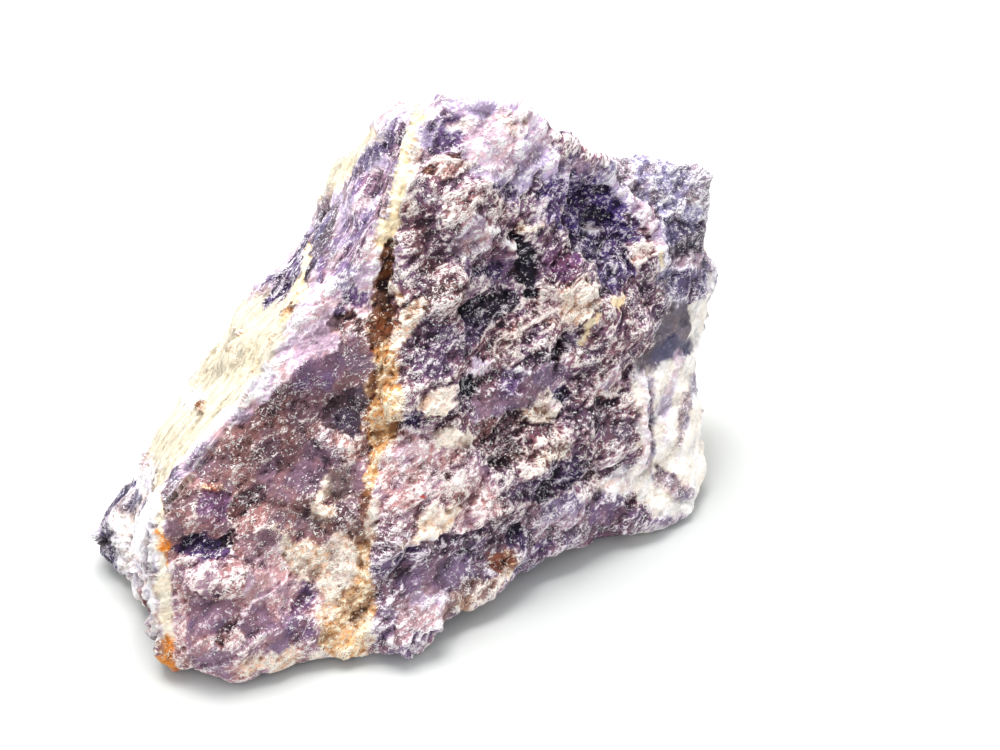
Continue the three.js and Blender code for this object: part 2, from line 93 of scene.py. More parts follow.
# ---------------- minerals
# Name: (ground, pale grains, share of pale grains, share of deep grains, gloss, crust).
PAINTS = {
    "night": ("#442a56", "#f8eef8", 0.28, 0.28, 0.75, 0.2),
    "indigo": ("#4e375f", "#f0e2f0", 0.21, 0.28, 0.65, 0.1),
    "royal": ("#4a3064", "#f0e2f2", 0.16, 0.22, 0.7, 0.0),
    "purple": ("#64426c", "#f0e0ee", 0.20, 0.22, 0.55, 0.1),
    "violet": ("#705276", "#f4e2ee", 0.24, 0.22, 0.5, 0.1),
    "wine": ("#66385e", "#dcb4d2", 0.12, 0.26, 0.5, 0.1),
    "slate": ("#8f8399", "#f8f2f8", 0.31, 0.22, 0.45, 0.1),
    "smoke": ("#6a6068", "#d4ccd0", 0.13, 0.08, 0.6, 0.0),
    "dusk": ("#7c566a", "#fff0ec", 0.33, 0.30, 0.4, 0.4),
    "plum": ("#8e686c", "#fcebe5", 0.20, 0.19, 0.45, 0.3),
    "brown": ("#6e484a", "#f2e2e0", 0.24, 0.34, 0.4, 0.4),
    "umber": ("#663814", "#e8c49c", 0.03, 0.26, 0.25, 0.5),
    "rust": ("#8a4a26", "#f2cda0", 0.16, 0.24, 0.2, 0.7),
    "amber": ("#cc7c28", "#fbe0b0", 0.18, 0.14, 0.3, 0.4),
    "ochre": ("#dca86e", "#fff0d0", 0.42, 0.17, 0.15, 1.0),
    "olive": ("#8e7468", "#f0e2d2", 0.12, 0.18, 0.4, 0.2),
    "mauve": ("#b68c92", "#ffeeec", 0.43, 0.18, 0.35, 0.5),
    "lavender": ("#7a6076", "#fbeef6", 0.31, 0.22, 0.45, 0.2),
    "lilac": ("#d2bad2", "#fff8fe", 0.45, 0.13, 0.4, 0.2),
    "blush": ("#d3b4c0", "#fefafc", 0.42, 0.14, 0.3, 0.2),
    "crust": ("#b48a88", "#fff0e8", 0.49, 0.26, 0.2, 1.0),
    "sand": ("#b08c74", "#fff2e0", 0.46, 0.20, 0.15, 0.9),
    "cream": ("#f1e4cc", "#fcf6ea", 0.42, 0.03, 0.2, 0.3),
    "biscuit": ("#f6d8bc", "#fff6e8", 0.50, 0.12, 0.2, 0.9),
    "butter": ("#f0dab0", "#fdf4dc", 0.44, 0.06, 0.15, 0.5),
    "pearl": ("#ebdfde", "#fefcfc", 0.48, 0.12, 0.3, 0.4),
    "chalk": ("#ecccb2", "#fff4e4", 0.50, 0.20, 0.2, 1.0),
    "steel": ("#4a3f58", "#d8ccd8", 0.16, 0.22, 0.45, 0.1),
    "coal": ("#241830", "#e6dce6", 0.12, 0.50, 0.6, 0.1),
    "shade": ("#564452", "#d8c8d0", 0.08, 0.14, 0.5, 0.1),
    "ink": ("#524e68", "#bcb8c8", 0.10, 0.05, 0.6, 0.0),
    "ivory": ("#cabfa8", "#ddd4c0", 0.42, 0.03, 0.2, 0.3),
    "rose": ("#c4b0c0", "#f0eaee", 0.34, 0.13, 0.3, 0.2),
    "orchid": ("#b4949f", "#f2dee6", 0.30, 0.12, 0.4, 0.2),
    "red": ("#c8432c", "#e88060", 0.10, 0.10, 0.3, 0.2),
    "satin": ("#84687e", "#f4e8f2", 0.20, 0.11, 0.5, 0.1),
    "milk": ("#f6efe6", "#fdf8f4", 0.44, 0.05, 0.2, 0.3),
    "velvet": ("#7a5c76", "#ecd8e8", 0.16, 0.13, 0.5, 0.1),
    "grape": ("#563a78", "#f4e6fa", 0.27, 0.24, 0.75, 0.1),
}

# The bands that run through the whole stone, each by where it starts along BAND_AXIS, from the west end.
BAND_AXIS = (0.97, -0.14, -0.18)
BANDS = [
    (-90, "slate"), (-76, "rose"), (-62, "ivory"), (-50, "rose"), (-40, "plum"), (-30, "violet"),
    (-22, "dusk"), (-14, "sand"), (-9, "lilac"), (0, "dusk"), (12, "indigo"), (20, "mauve"), (28, "violet"),
    (36, "slate"), (42, "dusk"), (50, "pearl"), (56, "cream"), (66, "slate"), (72, "cream"),
]
BAND_WARP = 30  # how far noise moves the bands, and
BAND_BREAK = 8  # how far the broken faces do
BAND_EDGE = 1.2  # half the width over which a band turns into the next

# ---------------- where the minerals show
# How ragged the edges are, by coarse and fine noise: px for zones, and shares of their size for the rest.
ZONE_RAGGED, ZONE_FINE = 7, 3
PATCH_RAGGED, PATCH_FINE = 0.42, 0.18
VEIN_RAGGED, VEIN_FINE = 0.5, 0.3
ZONE_EDGE = 3  # half the width over which a zone fades out, px
# Shares of the way to the middle of the broken face, and of the flake, where they are looked up, so that a
# face mostly has one mineral.
ZONE_PULL, VEIN_PULL = (0.55, 0.45), (0.25, 0.3)

# Zones: paint, then the corners, px.
ZONES = {
    "front east": ("dusk", [
        (400, 240), (405, 200), (412, 150), (430, 95), (480, 90), (520, 100), (560, 130), (590, 150),
        (620, 166), (650, 200), (662, 240), (662, 285), (650, 335), (636, 372), (632, 430), (632, 480),
        (650, 520), (600, 545), (560, 560), (520, 585), (480, 612), (430, 645), (390, 660), (366, 662),
        (362, 580), (372, 500), (380, 420), (386, 340)]),
    "front west": ("plum", [
        (366, 315), (345, 330), (330, 345), (300, 370), (285, 385), (262, 398), (245, 412), (222, 432),
        (205, 452), (190, 475), (175, 500), (163, 522), (162, 560), (160, 640), (165, 690), (240, 700),
        (290, 690), (352, 662), (362, 580), (372, 500), (380, 420), (384, 310)]),
    "west flank": ("rose", [
        (420, 95), (380, 110), (330, 160), (290, 220), (240, 290), (180, 370), (120, 470), (160, 480),
        (190, 470), (240, 412), (272, 365), (307, 305), (350, 270), (385, 235), (405, 180)]),
    "flank cream": ("ivory", [
        (312, 235), (300, 270), (306, 300), (285, 338), (270, 366), (240, 408), (210, 440), (178, 472),
        (160, 520), (150, 470), (160, 400), (220, 310), (262, 295), (300, 262)]),
    "flank edge": ("ivory", [
        (318, 215), (310, 190), (335, 140), (380, 125), (382, 142), (358, 165), (345, 185), (330, 205)]),
    "bevel": ("blush", [
        (388, 236), (350, 266), (308, 305), (272, 366), (242, 410), (205, 440), (182, 466), (165, 500),
        (172, 506), (190, 478), (205, 455), (226, 434), (246, 414), (266, 400), (286, 384), (304, 374),
        (330, 350), (352, 334), (366, 315), (380, 290), (390, 262)]),
    "summit": ("lilac", [
        (424, 100), (450, 90), (490, 90), (525, 105), (552, 130), (552, 150), (540, 168), (528, 188),
        (508, 198), (484, 186), (470, 165), (450, 162), (432, 166), (418, 168), (415, 140)]),
    "mauve mass": ("mauve", [
        (385, 432), (410, 424), (440, 428), (468, 440), (482, 470), (492, 500), (482, 522), (460, 527),
        (430, 512), (400, 522), (376, 526), (378, 470)]),
    "low east": ("lavender", [
        (372, 548), (400, 532), (440, 534), (482, 530), (520, 512), (560, 500), (620, 496), (655, 522),
        (610, 545), (560, 560), (520, 585), (480, 612), (430, 645), (390, 655), (368, 650)]),
    "low west": ("mauve", [
        (172, 562), (212, 558), (244, 562), (276, 550), (300, 572), (322, 600), (318, 640), (295, 680),
        (240, 700), (190, 690), (166, 670)]),
    "sand foot": ("chalk", [
        (282, 538), (305, 548), (332, 545), (352, 520), (366, 500), (378, 500), (373, 560), (372, 600),
        (376, 640), (366, 662), (330, 665), (306, 655), (318, 640), (320, 600), (300, 572), (280, 556)]),
    "shelf": ("slate", [
        (592, 150), (625, 160), (650, 145), (680, 150), (716, 155), (712, 204), (690, 196), (665, 196),
        (645, 202), (628, 190), (612, 175)]),
    "block": ("slate", [
        (655, 202), (715, 198), (720, 262), (702, 300), (665, 303), (658, 285), (657, 240)]),
    "east side": ("milk", [
        (665, 303), (700, 296), (712, 262), (725, 300), (715, 500), (692, 530), (655, 535), (642, 500),
        (634, 470), (634, 440), (636, 372), (652, 335)]),
    "scoop": ("smoke", [
        (664, 304), (692, 297), (689, 325), (684, 345), (656, 366), (640, 370), (637, 356), (652, 335)]),
    "wing": ("pearl", [
        (136, 470), (162, 460), (164, 520), (158, 560), (158, 640), (120, 590), (95, 545), (98, 500)]),
    # The hollow's grape is partly deep amethyst and partly painted shade in the hollow.
    "indigo hollow": ("grape", [
        (534, 178), (550, 165), (575, 158), (596, 170), (616, 190), (627, 212), (640, 245), (636, 275),
        (618, 290), (600, 285), (585, 262), (575, 240), (550, 226), (536, 205)]),
}

# Veins: paint, share, rise in mm, then (across px, down px, width mm) along its line.
VEINS = {
    "seam top": ("butter", 1, -0.2, [
        (418, 114, 2.2), (409, 150, 3), (401, 190, 3.2), (392, 216, 5.4), (386, 238, 5.4)]),
    "seam blush": ("crust", 0.8, 0, [(414, 150, 1.6), (412, 180, 2.2), (409, 215, 2)]),
    "seam cavity": ("umber", 1, -1.1, [(389, 242, 2.4), (387, 256, 4.2), (388, 270, 3.8), (383, 284, 4.4)]),
    "seam brown": ("umber", 0.95, -0.5, [(383, 290, 5.4), (381, 305, 8), (381, 330, 8), (382, 346, 7)]),
    "seam umber": ("umber", 0.8, -0.3, [(386, 300, 3), (386, 326, 4)]),
    "seam rust": ("rust", 0.9, -0.3, [(382, 334, 5), (383, 346, 6.8), (384, 360, 6.4)]),
    "seam ochre": ("ochre", 1, 0, [
        (385, 356, 7), (384, 385, 7.4), (386, 404, 8.4), (383, 430, 7.6), (379, 450, 5), (373, 470, 3),
        (368, 492, 2.4)]),
    "seam brown side": ("rust", 0.75, -0.3, [
        (374, 356, 1), (370, 400, 1.2), (368, 430, 1.2), (367, 470, 0.8)]),
    "seam tan": ("rust", 0.7, -0.2, [(366, 492, 2), (363, 520, 2.4), (362, 542, 2)]),
    "seam foot": ("ochre", 0.9, 0, [
        (364, 548, 3), (367, 570, 4.4), (360, 592, 7), (354, 615, 8), (346, 642, 9.5)]),
    "foot brown": ("umber", 0.5, -0.2, [(373, 592, 1.2), (364, 606, 2), (353, 622, 2)]),
    "seam knot": ("chalk", 1, 0.6, [(391, 284, 2), (396, 290, 3), (401, 300, 2)]),
    "east of seam": ("chalk", 0.9, 0.4, [(420, 301, 1.6), (411, 314, 3.6), (404, 330, 4), (398, 346, 2.4)]),
    "corner band": ("cream", 1, 0.3, [
        (166, 498, 1.5), (163, 530, 2), (166, 580, 2.8), (166, 620, 3.2), (170, 662, 2.6)]),
    "corner amber": ("amber", 1, 0, [(163, 530, 1.6), (166, 546, 2.4), (168, 564, 1.6)]),
    "corner amber low": ("amber", 1, 0, [(167, 638, 2.6), (170, 652, 4), (174, 664, 3.4)]),
    "wing rim": ("steel", 1, 0, [
        (134, 482, 1.6), (120, 498, 3), (108, 516, 3.4), (112, 540, 3.2), (120, 560, 2.4), (126, 580, 1)]),
    "flank streak 1": ("violet", 0.9, -0.4, [(402, 124, 2.6), (392, 142, 3.4), (386, 154, 1.6)]),
    "flank streak 2": ("indigo", 0.8, -0.4, [(384, 146, 1.6), (366, 166, 3.4), (352, 186, 1.4)]),
    "flank streak 3": ("purple", 0.75, -0.4, [(396, 160, 2.4), (386, 178, 4.2), (374, 194, 1.6)]),
    "flank streak 4": ("purple", 0.9, -0.3, [(374, 178, 1.8), (364, 194, 3), (354, 208, 1.4)]),
    "flank streak 5": ("steel", 0.9, -0.4, [
        (346, 204, 1.6), (332, 228, 4.6), (320, 256, 3.8), (312, 286, 1.4)]),
    "flank streak 6": ("night", 1, -0.5, [
        (309, 240, 3.4), (296, 262, 6.2), (280, 286, 6.2), (266, 306, 3)]),
    "flank outer line": ("steel", 0.5, -0.3, [
        (334, 190, 1.2), (327, 206, 2), (321, 226, 2.4), (313, 246, 1.6)]),
    "flank streak 8": ("violet", 0.85, -0.3, [
        (392, 200, 1.6), (374, 224, 4.4), (356, 250, 5), (338, 276, 2.6)]),
    "flank streak 9": ("purple", 0.7, -0.2, [(368, 210, 1), (346, 236, 2), (330, 262, 2.4), (322, 284, 1)]),
    "flank vein": ("butter", 1, 0.4, [(312, 250, 1.4), (309, 272, 2.4), (302, 296, 3.6)]),
    "flank thread": ("ochre", 0.5, 0, [(300, 296, 0.6), (284, 324, 0.8), (266, 354, 0.8), (244, 388, 0.6)]),
    "bevel streak 1": ("slate", 0.4, 0, [(212, 446, 1), (200, 460, 2.8), (190, 472, 1.2)]),
    "bevel streak 2": ("steel", 0.85, -0.3, [(186, 470, 1), (176, 488, 2.6), (168, 508, 1)]),
    "bevel streak 3": ("violet", 0.3, 0, [(268, 382, 0.8), (246, 406, 1.6), (226, 428, 1)]),
    "bevel white": ("pearl", 0.9, 0.3, [(276, 362, 1.6), (262, 384, 2.6), (236, 412, 2), (206, 444, 1.4)]),
    "ridge light": ("lilac", 0.8, 0.5, [
        (606, 178, 1.6), (624, 196, 3), (640, 212, 4), (654, 230, 3.2), (658, 250, 2)]),
    "crest edge": ("lilac", 0.6, -0.2, [(540, 150, 1.8), (560, 160, 2.2), (585, 166, 1.6), (606, 176, 1)]),
    "ridge yellow": ("butter", 1, 0.3, [(657, 250, 1), (661, 270, 1.2)]),
    "east white ridge": ("blush", 0.9, 0.5, [
        (640, 372, 1.6), (642, 400, 1.8), (640, 440, 2.4), (638, 470, 3)]),
    "east foot milk": ("milk", 1, 0.5, [
        (634, 470, 2.4), (635, 488, 3), (646, 500, 3), (668, 508, 2.6), (690, 506, 2)]),
    "side streak inner": ("purple", 0.65, -0.3, [
        (648, 374, 1.2), (647, 410, 2.4), (646, 450, 2.6), (652, 486, 1.4)]),
    "side streak dark": ("purple", 0.4, -0.4, [(652, 388, 0.8), (650, 420, 1.4), (650, 452, 1)]),
    "side streak lilac": ("lilac", 0.7, -0.3, [
        (676, 352, 1.4), (670, 380, 2.4), (664, 412, 2.2), (660, 440, 1)]),
    "side streak violet": ("violet", 0.65, -0.3, [
        (691, 374, 0.8), (686, 396, 2.4), (682, 416, 2.6), (677, 442, 1)]),
    "side streak low": ("purple", 0.75, -0.3, [
        (657, 466, 1.4), (664, 480, 4), (676, 490, 5), (688, 496, 2)]),
    "heel streak": ("purple", 0.8, -0.2, [(646, 518, 1.4), (662, 522, 2.4), (684, 516, 1.6)]),
    "yellow vein": ("butter", 1, 0.5, [(596, 314, 0.9), (588, 326, 1.6), (578, 338, 1.2)]),
    "low dark line": ("night", 0.8, -0.7, [
        (402, 548, 0.8), (430, 538, 1.4), (455, 536, 1.6), (482, 524, 1)]),
    # The bottom edge is painted dark velvet, partly as painted shade where it meets the floor's shadow.
    "low rim shade": ("velvet", 0.9, -0.2, [
        (470, 606, 1), (512, 576, 1.2), (556, 552, 1.4), (600, 536, 1.4), (640, 528, 1.2)]),
    # The cleft's coal is partly dark amethyst and partly painted shade in the cleft.
    "black cleft": ("coal", 1, -1, [(512, 234, 2), (522, 252, 4.4), (526, 276, 5), (530, 296, 2.6)]),
}

# Patches: across px, down px, (length, width) mm, turn in degrees, paint, share, rise in mm.
# Sunk coal and night patches, and the hollow's depth: partly dark amethyst, partly painted shade in the
# recess.
PATCHES = {
    "summit violet": (450, 142, (13, 9), 60, "purple", 0.95, -0.3),
    "summit streaks": (440, 120, (11, 5), 60, "purple", 0.65, 0),
    "summit knot": (462, 128, (8, 4), 20, "pearl", 0.9, 0.4),
    "summit white": (500, 158, (13, 8), 20, "blush", 0.9, 0.3),
    "summit peach": (507, 122, (9, 6), -20, "chalk", 0.5, 0.2),
    "summit wedge": (536, 136, (6.5, 4), -30, "lilac", 0.5, 0),
    "top crust": (450, 170, (14, 5.5), 5, "crust", 0.9, 0.5),
    "top crust holes": (428, 174, (4, 3), 0, "umber", 0.8, -0.8),
    "pale wedge": (470, 184, (7, 3), 20, "mauve", 0.6, 0.4),
    "violet eye": (502, 190, (6.5, 4), -20, "violet", 0.95, -0.4),
    "brown shade": (425, 245, (10, 16), 0, "brown", 0.55, -0.3),
    "mid crust": (470, 208, (17, 7), -10, "crust", 0.4, 0.4),
    "mid crust brown": (440, 198, (6, 3), 20, "pearl", 0.5, 0),
    "pink ledge": (472, 238, (10, 11), 0, "blush", 0.85, 0.7),
    "chip 1": (490, 229, (5.4, 3.4), -15, "pearl", 1, 1),
    "chip 2": (503, 241, (4.4, 3), 0, "pearl", 1, 1),
    "chip 3": (528, 227, (7, 2.4), 5, "chalk", 0.9, 0.6),
    "recess": (490, 265, (12, 8), 10, "velvet", 0.7, -0.5),
    "recess light": (480, 272, (9, 4), 15, "night", 0.9, -0.3),
    "hollow depth": (590, 228, (20, 13), -50, "grape", 0.5, -1.4),
    "hollow violet": (588, 212, (7, 4.5), 20, "royal", 0.9, -0.2),
    "hollow sparkle": (590, 230, (5, 2.4), 10, "pearl", 0.8, 0.4),
    "hollow rim": (552, 172, (8, 3), 30, "lilac", 0.9, 0.4),
    "hollow low": (588, 250, (12, 7), -50, "coal", 0.5, -1),
    "hollow edge": (536, 212, (4, 8), 0, "lilac", 0.4, 0.4),
    "wine": (560, 267, (6.5, 6), -50, "wine", 0.95, -0.4),
    "wine side": (548, 258, (3, 6), -20, "wine", 0.8, 0.1),
    "ridge crust": (638, 252, (10, 6), 10, "crust", 0.95, 0.6),
    "ridge dusk": (640, 300, (10, 14), 0, "dusk", 0.8, 0),
    "ridge dark": (616, 262, (9, 6), 30, "night", 0.9, -0.6),
    "rose low": (438, 298, (12, 8), 20, "brown", 0.9, 0),
    "recess 2": (488, 311, (15, 8), 15, "coal", 0.95, -1),
    "recess 2 violet": (470, 330, (9, 5), 25, "indigo", 0.8, -0.3),
    "west of recess 2": (430, 345, (17, 14), 20, "night", 0.5, -0.4),
    "crust ledge": (562, 304, (17, 10), 15, "crust", 1, 0.9),
    "crust ledge cream": (578, 300, (11, 7), 15, "chalk", 0.7, 0.4),
    "cream spot": (616, 300, (5, 2.6), 15, "butter", 0.9, 0.5),
    "red speck": (555, 290, (1.5, 1.3), 0, "red", 1, 0.2),
    "crust tongue": (516, 330, (11, 6), 40, "crust", 0.9, 0.7),
    "crust tongue low": (506, 350, (7, 8), 60, "crust", 0.7, 0.5),
    "dark crust east": (612, 342, (12, 6), 10, "dusk", 0.5, -0.2),
    "indigo ledge": (544, 355, (12, 5), 20, "coal", 0.5, -0.9),
    "grey ledge": (572, 344, (6, 4.5), 30, "lavender", 0.85, 0.2),
    "white knob": (518, 369, (3.2, 2.6), 0, "pearl", 1, 1),
    "lavender sweep": (515, 392, (26, 10), 28, "satin", 0.95, 0.3),
    "purple sweep": (506, 384, (9, 5), 35, "purple", 0.85, 0.1),
    "lavender tip": (482, 415, (9, 7), 40, "satin", 0.9, 0.2),
    "lilac shard": (476, 370, (8.5, 3.4), 25, "lilac", 0.9, 0.7),
    "dark gap 1": (464, 388, (7.5, 4), 25, "coal", 1, -1),
    "shard": (541, 408, (13, 6), 35, "chalk", 0.95, 1.1),
    "shard violet": (556, 402, (6, 3), 35, "lilac", 0.3, 0.2),
    "notch": (561, 395, (5, 3.4), -20, "night", 1, -1.2),
    "slate ledge": (592, 416, (14, 8), 30, "coal", 0.5, -0.6),
    "pink lump": (608, 382, (9, 6), 20, "blush", 0.9, 0.8),
    "pink lump low": (602, 392, (6, 3), 10, "crust", 0.8, 0.3),
    "rust streak": (619, 387, (3, 1), 55, "rust", 0.9, -0.5),
    "olive ledge": (616, 430, (8, 9), 20, "shade", 0.7, -0.3),
    "brown gap": (497, 430, (13, 8), 30, "brown", 0.9, -0.9),
    "brown gap low": (505, 456, (10, 6), 30, "brown", 0.9, -0.9),
    "pink shelf": (542, 452, (19, 8), 25, "crust", 0.8, 0.9),
    "pink shelf tan": (552, 455, (10, 5), 20, "sand", 0.7, 0.2),
    "pink shelf end": (566, 436, (8, 4), 15, "mauve", 0.6, 0.4),
    "slate low": (548, 478, (20, 8), 25, "indigo", 0.8, -0.9),
    "slate low dark": (560, 470, (8, 6), 40, "night", 0.5, -0.2),
    "purple streak": (606, 458, (11, 3), 35, "lilac", 0.5, 0.5),
    "granular": (612, 482, (13, 7), 25, "pearl", 1, 0.7),
    "granular lilac": (560, 512, (16, 6), 25, "lilac", 0.35, 0.3),
    "purple bevel": (604, 514, (11, 6), 15, "velvet", 0.95, -0.3),
    "pocket": (516, 538, (5.5, 4.5), -15, "royal", 0.95, -0.8),
    "violet strip": (528, 558, (12, 4), 35, "royal", 0.7, 0),
    "rust patch": (497, 562, (8, 5), 65, "rust", 0.9, -0.2),
    "rust patch pale": (502, 572, (3, 3), 60, "chalk", 1, 0.2),
    "tan low": (470, 594, (15, 6), 30, "sand", 0.7, 0.2),
    "olive low": (450, 606, (9, 4), 30, "olive", 0.7, -0.2),
    "cream chips": (434, 402, (11, 7.5), 20, "biscuit", 1, 1),
    "cream chips low": (425, 412, (6, 4), -10, "sand", 0.7, 0.3),
    "purple gap": (411, 419, (7, 4), 5, "night", 0.95, -0.9),
    "cream knob": (450, 438, (12, 5), 0, "biscuit", 1, 0.4),
    "cream mass": (452, 492, (9, 12), 0, "crust", 0.6, 0.2),
    "mauve rose": (410, 455, (10, 8), 30, "blush", 0.6, 0.3),
    "mauve grey": (418, 500, (12, 6), 25, "mauve", 0.5, -0.1),
    "red speck 2": (423, 496, (1.4, 1.4), 0, "red", 0.9, 0.1),
    "cream tongue": (437, 518, (12, 6.4), 20, "biscuit", 0.95, 0.6),
    "cream tongue tail": (412, 538, (9, 3), 15, "biscuit", 0.9, 0.4),
    "low violet dark": (446, 548, (13, 5), 15, "indigo", 0.5, -0.4),
    "low grey": (430, 576, (16, 8), 25, "satin", 0.85, 0),
    "pit": (397, 556, (4, 3.2), 0, "night", 0.7, -0.8),
    "bottom lens": (420, 614, (15, 9), 28, "blush", 0.7, -0.4),
    "bottom lens low": (400, 638, (12, 5), 15, "lavender", 0.5, -0.6),
    "bottom knob": (427, 648, (9, 7), 20, "lilac", 0.3, -2.6),
    "cobble 1": (392, 590, (5, 4), 0, "lavender", 0.8, 0.4),
    # the front's west face
    "west purple": (356, 298, (6.5, 5), 0, "purple", 0.95, -0.3),
    "west purple side": (340, 312, (4.5, 5), -30, "indigo", 0.9, -0.3),
    "west brown": (348, 322, (9, 6), 0, "brown", 1, -0.5),
    "west rose": (320, 345, (16, 9), 42, "orchid", 0.95, 0.2),
    "west violet": (318, 373, (14, 8.5), 25, "velvet", 1, 0),
    "west violet dark": (308, 382, (9, 4), 25, "purple", 0.5, -0.2),
    "west grey": (357, 366, (13, 6.5), 80, "shade", 0.6, 0.1),
    "indigo west": (346, 416, (15, 10.5), 70, "shade", 0.85, -0.6),
    "indigo west dark": (350, 424, (13, 7), 70, "coal", 0.35, -0.3),
    "lump cream": (326, 438, (6, 3.4), -15, "crust", 1, 0.3),
    "lump cream 2": (345, 445, (8, 3.4), -15, "crust", 1, 0.4),
    "umber west": (292, 412, (15, 10), 10, "brown", 0.6, -0.2),
    "plum specks": (270, 440, (22, 14), 20, "brown", 0.5, 0),
    "plum violet": (305, 462, (20, 12), 20, "velvet", 0.35, 0),
    "pink lump west": (325, 488, (6, 3.4), 70, "biscuit", 1, 0.4),
    "olive dent": (342, 488, (7, 7), 40, "olive", 0.6, 0),
    "cream bead": (325, 512, (5.5, 4.5), 0, "biscuit", 0.95, 0.5),
    "pale rim": (358, 463, (5, 5), 40, "mauve", 0.7, 0.2),
    "violet patch": (350, 524, (7, 7), 0, "brown", 0.9, -0.2),
    "brown west": (248, 500, (13, 9), 10, "brown", 1, -0.3),
    "purple west": (213, 506, (9, 9), 10, "wine", 0.8, -0.2),
    "amber lump": (212, 486, (5, 2.4), -10, "rust", 0.8, 0.6),
    "mauve west": (200, 522, (9, 7), 0, "mauve", 0.3, 0.2),
    "indigo band": (204, 549, (14, 6.5), 5, "royal", 1, -0.5),
    "indigo band end": (232, 545, (5, 6), 30, "umber", 0.5, -0.5),
    "white bead": (229, 553, (2, 1.6), 0, "pearl", 1, 0.8),
    "pink lens": (214, 578, (15, 7.5), 8, "plum", 0.35, 0.8),
    "lilac foot": (268, 588, (14, 10), 25, "orchid", 0.65, 0.5),
    "purple foot": (302, 600, (13, 4.5), 65, "purple", 0.9, -0.3),
    "violet foot": (212, 620, (14, 11), 30, "velvet", 0.85, -0.2),
    "violet foot 2": (258, 622, (9, 8), 50, "velvet", 0.8, -0.2),
    "crease foot": (226, 632, (10, 3), 60, "brown", 0.95, -0.6),
    "violet lens": (280, 632, (8.5, 5), 50, "satin", 0.9, 0.3),
    "purple lens": (300, 625, (8, 6), 50, "violet", 0.8, 0),
    "cream lens": (268, 661, (15, 4.5), 10, "chalk", 0.85, 0.5),
    "low plum": (214, 657, (13, 6), -25, "satin", 0.6, 0),
    "cream flow": (305, 556, (9, 5), -25, "chalk", 0.8, 0.3),
    "tan flow": (283, 532, (9, 4), -25, "rust", 0.35, 0.1),
    "grey lens": (334, 654, (8, 3.6), 10, "lavender", 0.9, 0.3),
    "rust foot": (357, 618, (3.5, 5), 60, "rust", 0.8, -0.4),
    # the west flank and the wing
    "flank mark 1": (205, 414, (3.2, 1.9), 30, "umber", 1, -0.5),
    "flank mark 2": (291, 311, (3.8, 2.5), 50, "umber", 1, -0.5),
    "flank mark 3": (241, 330, (1.6, 1.6), 0, "mauve", 1, -0.2),
    "flank grey 1": (197, 402, (5, 7), 60, "pearl", 0.9, -0.3),
    "flank grey 2": (236, 349, (4.5, 1.8), 30, "olive", 0.5, -0.3),
    "flank grey 3": (318, 268, (3, 3), 60, "steel", 0.7, 0),
    "flank violet low": (350, 262, (14, 6), 52, "slate", 0.8, 0),
    "wing grey": (134, 502, (6, 7), 60, "steel", 0.8, -0.3),
    "wing violet": (146, 568, (6, 5), -30, "lavender", 0.4, -0.3),
    "wing line": (136, 542, (5, 1.4), 60, "olive", 0.6, -0.4),
    # the east side
    "conchoid": (668, 210, (8.5, 5), -10, "slate", 0.7, 0.6),
    # The east block's steel is partly its bluish grey and partly painted shade on a face turned from the
    # light.
    "block dark": (682, 240, (9, 10), 0, "steel", 0.95, -0.3),
    "block chips": (684, 262, (9, 4), 20, "lilac", 0.7, 0.3),
    "block violet": (686, 284, (9, 7), 25, "indigo", 0.75, -0.2),
    "scoop violet": (668, 352, (11, 5), 35, "ink", 1, 0),
    "shelf lilac": (640, 182, (8, 4), -30, "lilac", 0.3, 0.2),
    "heel violet": (655, 520, (6, 2), 20, "violet", 0.4, 0),
}


# ---------------- noise
def chance(cells, turn):
    """Numbers from 0 to 1 that are always the same for the same cell."""
    wave = np.sin(cells @ np.array([127.1, 311.7, 74.7]) + turn * 53.3) * 43758.5453
    return wave - np.floor(wave)


def noise(points, size, turn=0):
    """Smooth noise from 0 to 1 with lumps of that size."""
    place = points / size
    cell = np.floor(place)
    share = place - cell
    share = share * share * (3 - 2 * share)
    total = np.zeros(len(points))
    for corner in itertools.product((0, 1), repeat=3):
        weight = np.prod(np.where(corner, share, 1 - share), axis=1)
        total += weight * chance(cell + corner, turn)
    return total


def rough(points, size, turn=0, octaves=3):
    """Noise with finer noise on it, about 0 to 1."""
    parts = [noise(points, size / 2**k, turn + 7 * k) / 2**k for k in range(octaves)]
    return sum(parts) / sum(1 / 2**k for k in range(octaves))


def either_way(points, size, turn, octaves=3):
    """The same from about -1 to 1."""
    return (rough(points, size, turn, octaves) - 0.5) * 2


def chips(points, size, tilt, step, steepness, turn):
    """Small broken faces, each on a tilted plane of its own, with a short steep slope between.

    Gives their height at each point, and how far the point is from the middle of its own face.
    """
    place = points / size
    cell = np.floor(place)
    nearest = np.full(len(points), np.inf)
    height = np.full(len(points), -np.inf)
    home = np.zeros_like(points)
    for neighbour in itertools.product((-1, 0, 1), repeat=3):
        seed = cell + neighbour
        some = [chance(seed, turn + k) for k in range(7)]
        away = place - seed - np.stack(some[:3], axis=1)
        far = (away * away).sum(axis=1)
        plane = (away * (np.stack(some[3:6], axis=1) - 0.5)).sum(axis=1) * 2 * tilt * size
        home = np.where((far < nearest)[:, None], away, home)
        nearest = np.minimum(nearest, far)
        height = np.maximum(height, plane + (some[6] - 0.5) * 2 * step - steepness * far)
    return height + steepness * nearest, home * size


def stretched(points, along, stretch):
    """Points squeezed along a direction, so that what is made from them is stretched along it."""
    along = np.array(along) / np.linalg.norm(along)
    return points + np.outer((points - ANCHOR) @ along, along) * (1 / stretch - 1)


def ledges(points, across, spacing, turn):
    """Steps from 0 to 1 that rise slowly and drop sharply, at every spacing across."""
    place = points @ (np.array(across) / np.linalg.norm(across)) / spacing
    place = place + 1.6 * rough(stretched(points, GRAIN, 2), 2.2 * spacing, turn)  # so that they wander
    return place - np.floor(place)


def smoothstep(value, low, high):
    """0 at low, 1 at high and smooth between."""
    share = np.clip((value - low) / (high - low), 0, 1)
    return share * share * (3 - 2 * share)


